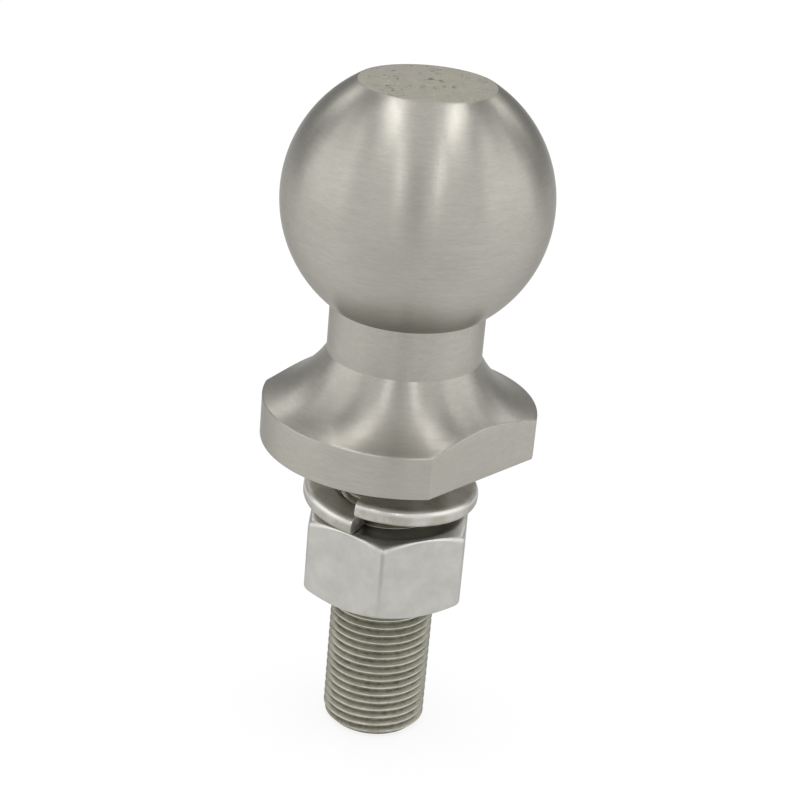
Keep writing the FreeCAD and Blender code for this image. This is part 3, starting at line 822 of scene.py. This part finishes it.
def nut_steel(handled):
    """Soft bright plating of the nut, with a line of painted shade down its upright corners and a painted
    highlight, with smoother roughness, round its top.
    """
    material, tree, shader = new_steel("plated_steel", 0.0, PLATING_EDGE_TINT)
    mottle = place_group(tree, handled, Clouds_per_metre=230.0, Specks_per_metre=1800.0)
    axis = round_axis(tree)
    turn = maths(tree, "SUBTRACT", maths(tree, "ARCTAN2", axis["sine"], axis["cosine"]), NUT_TURN)
    # Painted shade: a dark line down each upright corner, stronger towards the top, ending below the chamfer.
    at_corner = span(tree, maths(tree, "COSINE", times(tree, turn, NUT_SIDES)), 0.985, 1.0, 0.0, 1.0)
    near_top = span(tree, axis["up"], NUT_MIDDLE - NUT_HALF / 2, NUT_HIGH - MM, 0.08, 0.34)
    below_chamfer = span(tree, axis["up"], NUT_HIGH - 1.6 * MM, NUT_HIGH - 1.3 * MM, 1.0, 0.0)
    painted_corner_shade = times(tree, at_corner, times(tree, near_top, below_chamfer))
    colour = blend_colour(tree, painted_corner_shade, ramp(tree, mottle["Cloud"], PLATING_MOTTLE), PLATING_PAINTED_CORNER_SHADE)
    rough = span(tree, mottle["Speck"], 0.3, 0.7, 0.28, 0.38)
    rub_with_painted_highlight(tree, shader, colour, PLATING_PAINTED_HIGHLIGHT, rough, 0.06)
    feed(tree, shader, Normal=bump(tree, mottle["Speck"], PLATING_RELIEF))
    return material


grain = lathe_grain_group()
handled = cloud_group()
stainless = turned_steel(grain, handled)
thread_metal = thread_steel(grain, handled)
spring = washer_steel(grain, handled)
plating = nut_steel(handled)
crown_steel = struck_steel(handled)

forging = make_piece("ball_forging", turned(forging_outline, forging_turns()), stainless, "ball", "tow_ball")
forging.data.materials.append(crown_steel)
for polygon in forging.data.polygons:
    if polygon.center.z > CROWN_LEVEL - CROWN_EDGE / 4:
        polygon.material_index = 1
make_piece("shank_thread", thread_shank(), thread_metal, "ball", "tow_ball",
           sharp=THREAD_SHARP_ANGLE)
washer = make_piece("split_washer", coil_washer(), spring, "washer", "lock_washer")
mark_rub_and_highlight(washer, washer_rub_and_highlight)
nut = make_piece("nut_body", turned(nut_outline, nut_turns(), closed=True), plating, "nut", "hex_nut")
mark_rub_and_highlight(nut, nut_rub_and_highlight)
make_piece("nut_thread_ridge", nut_thread(), plating, "nut", "hex_nut")


# Studio: pale floor, plain world, lamps, and dark cards that only show as reflections in the metal.
# Its places and directions are to the camera's right, towards the camera, and up. What stands on
# both sides is given for the right and mirrored.

CAMERA_TURN = math.radians(-48.2)
LAMP_AIM = (0, 0, 20 * MM)
TOWARDS_CAMERA = (0, 1, 0)
WHITE = (1, 1, 1)
FLOOR_RADIUS = 6.0
FLOOR_SIDES = 96
FLOOR_DROP = 0.05 * MM
FLOOR_WHITE = (0.95, 0.95, 0.95)
FLOOR_GLOW = 0.8
BAND_RADIUS = 1.4
BAND_LOW = -0.05
BAND_HIGH = 0.5
BAND_SPREAD = math.radians(70)
BAND_STEPS = 24
BAND_SHADE = 0.45

# Lamps on both sides: place, direction of the length, width, length, glow, and how much of its glow
# the right one gives to the left one

LAMPS = {
    "overhead_bar": ((0.345, -0.07, 1.0), (-0.10, 1, 0), 0.045, 0.70, 9.7, 0.4),
    "front_bar": ((0.28, 0.72, 0.72), (-0.05, 1, -0.95), 0.04, 0.90, 3.4, 0.0),
    "back_bar": ((0.63, -0.74, 0.60), (0.17, 0.6, 0.28), 0.06, 0.30, 3.6, 0.6),
    "side_bar": ((0.77, 0.03, 0.85), (0.05, 0.8, -0.1), 0.06, 0.40, 2.2, 0.0),
    "side_wall": ((1.1, 0.0, 0.35), TOWARDS_CAMERA, 0.7, 1.3, 0.35, 0.0),
}

# Dark cards: place, what they face, direction of the length, width, length and shade

SIDE_FLAGS = {
    "overhead_flag": ((0.60, -0.32, 0.95), LAMP_AIM, TOWARDS_CAMERA, 0.22, 1.15, 0.2),
    "side_flag": ((0.80, -0.50, 0.50), LAMP_AIM, TOWARDS_CAMERA, 0.22, 0.40, 0.25),
}
MIDDLE_FLAGS = {
    "floor_flag": ((0, 0.50, -0.055), (0, 0.50, 1), TOWARDS_CAMERA, 0.26, 0.85, 0.87),
    "camera_flag": ((-0.03, 1.0, 0.40), LAMP_AIM, UP, 0.24, 0.9, 0.7),
}


def studio_place(right, near, up, side=1):
    """Point or direction given from the camera's side of the object, mirrored where the side is -1."""
    to_camera = Vector((math.cos(CAMERA_TURN), math.sin(CAMERA_TURN), 0))
    to_right = Vector((-to_camera.y, to_camera.x, 0))
    return to_right * right * side + to_camera * near + Vector((0, 0, up))


def bare_tree(owner):
    """Node tree of a material or a world, emptied."""
    owner.use_nodes = True
    owner.node_tree.nodes.clear()
    return owner.node_tree


def background_share(tree):
    """One where a ray comes from the camera, or from it by way of metal or glass."""
    path = add(tree, "ShaderNodeLightPath").outputs
    share = maths(tree, "MAXIMUM", path["Is Camera Ray"], path["Is Glossy Ray"])
    return maths(tree, "MAXIMUM", share, path["Is Transmission Ray"])


def pale_floor():
    """Large pale disc at the shank's end that keeps a light shadow."""
    bm = bmesh.new()
    bmesh.ops.create_circle(bm, cap_ends=True, radius=FLOOR_RADIUS, segments=FLOOR_SIDES)
    bmesh.ops.translate(bm, verts=bm.verts, vec=(0, 0, SHANK_END - FLOOR_DROP))
    material = bpy.data.materials.new("pale_floor")
    tree = bare_tree(material)
    matt = feed(tree, add(tree, "ShaderNodeBsdfDiffuse"), Color=FLOOR_WHITE)
    glow = feed(tree, add(tree, "ShaderNodeEmission"), Color=WHITE, Strength=1.0)
    mix = feed(tree, add(tree, "ShaderNodeMixShader"), Fac=times(tree, background_share(tree), FLOOR_GLOW))
    tree.links.new(matt.outputs[0], mix.inputs[1])
    tree.links.new(glow.outputs[0], mix.inputs[2])
    feed(tree, add(tree, "ShaderNodeOutputMaterial"), Surface=mix.outputs[0])
    floor = put_in_scene("pale_floor", bm, material)


def plain_world():
    """White world at strength one, which is also the white behind the object."""
    world = bpy.data.worlds.new("studio")
    bpy.context.scene.world = world
    tree = bare_tree(world)
    background = feed(tree, add(tree, "ShaderNodeBackground"), Color=WHITE, Strength=1.0)
    feed(tree, add(tree, "ShaderNodeOutputWorld"), Surface=background.outputs[0])


def facing(place, aim, along):
    """Turn of a lamp or card at a place that faces a point, its length along a direction."""
    out = (place - aim).normalized()
    length = (along - out * along.dot(out)).normalized()
    return Matrix((length.cross(out), length, out)).transposed()


def soft_box(name, side, place, along, width, length, glow):
    """Rectangular lamp that faces the object and glows evenly, one being as bright as white paper."""
    light = bpy.data.lights.new(name, "AREA")
    light.shape = "RECTANGLE"
    light.size = width
    light.size_y = length
    light.energy = glow * math.pi * width * length
    middle = studio_place(*place, side)
    turn = facing(middle, studio_place(*LAMP_AIM, side), studio_place(*along, side))
    lamp = bpy.data.objects.new(name, light)
    lamp.location = middle
    lamp.rotation_mode = "QUATERNION"
    lamp.rotation_quaternion = turn.to_quaternion()
    bpy.context.scene.collection.objects.link(lamp)


def flag(name, bm, shade):
    """Dark card outside the picture that only shows as a reflection in the metal."""
    material = bpy.data.materials.new(name)
    tree = bare_tree(material)
    glow = feed(tree, add(tree, "ShaderNodeEmission"), Color=(shade, shade, shade), Strength=1.0)
    feed(tree, add(tree, "ShaderNodeOutputMaterial"), Surface=glow.outputs[0])
    card = put_in_scene(name, bm, material)
    card.visible_camera = False
    card.visible_diffuse = False
    card.visible_shadow = False


def flat_flag(name, side, place, aim, along, width, length, shade):
    """Flat dark card at a place, facing a point."""
    middle = studio_place(*place, side)
    turn = facing(middle, studio_place(*aim, side), studio_place(*along, side))
    bm = bmesh.new()
    bmesh.ops.create_grid(bm, x_segments=1, y_segments=1, size=0.5)
    bmesh.ops.scale(bm, verts=bm.verts, vec=(width, length, 1))
    bmesh.ops.rotate(bm, verts=bm.verts, cent=CENTRE, matrix=turn)
    bmesh.ops.translate(bm, verts=bm.verts, vec=middle)
    flag(name, bm, shade)


def low_flag():
    """Upright dark band that stands round the back half of the studio."""
    bm = bmesh.new()
    start = studio_place(0, -BAND_RADIUS, BAND_LOW)
    verts = [bm.verts.new(start), bm.verts.new((start.x, start.y, BAND_HIGH))]
    edge = bm.edges.new(verts)
    for turn in (-BAND_SPREAD, BAND_SPREAD):
        bmesh.ops.spin(bm, geom=verts + [edge], cent=CENTRE, axis=UP, angle=turn, steps=BAND_STEPS)
    bmesh.ops.remove_doubles(bm, verts=bm.verts, dist=MM)
    flag("low_flag", bm, BAND_SHADE)


pale_floor()
plain_world()
for side in (-1, 1):
    for name, (place, along, width, length, glow, shift) in LAMPS.items():
        soft_box(f"{name}_{side}", side, place, along, width, length, glow - shift * side)
    for name, settings in SIDE_FLAGS.items():
        flat_flag(f"{name}_{side}", side, *settings)
low_flag()
for name, settings in MIDDLE_FLAGS.items():
    flat_flag(name, 1, *settings)

# Camera as in the photograph: its height, turn and roll

CAMERA_RISE = math.radians(23.49)
CAMERA_ROLL = math.radians(5.048)
CAMERA_DISTANCE = 373.3 * MM
AIM_HEIGHT = 7.76 * MM
FOCAL_PIXELS = 2082.0
PICTURE_PIXELS = 800
SENSOR = 36.0

back = studio_place(0, math.cos(CAMERA_RISE), math.sin(CAMERA_RISE))
view = bpy.data.cameras.new("photo_camera")
view.sensor_width = SENSOR
view.lens = FOCAL_PIXELS / PICTURE_PIXELS * SENSOR
view.clip_start = 10 * MM
camera = bpy.data.objects.new("photo_camera", view)
camera.rotation_mode = "QUATERNION"
camera.location = Vector((0, 0, AIM_HEIGHT)) + back * CAMERA_DISTANCE
roll = Matrix.Rotation(CAMERA_ROLL, 3, "Z").to_quaternion()
camera.rotation_quaternion = (-back).to_track_quat("-Z", "Y") @ roll
bpy.context.scene.collection.objects.link(camera)
bpy.context.scene.camera = camera
bpy.context.scene.view_settings.view_transform = "Standard"
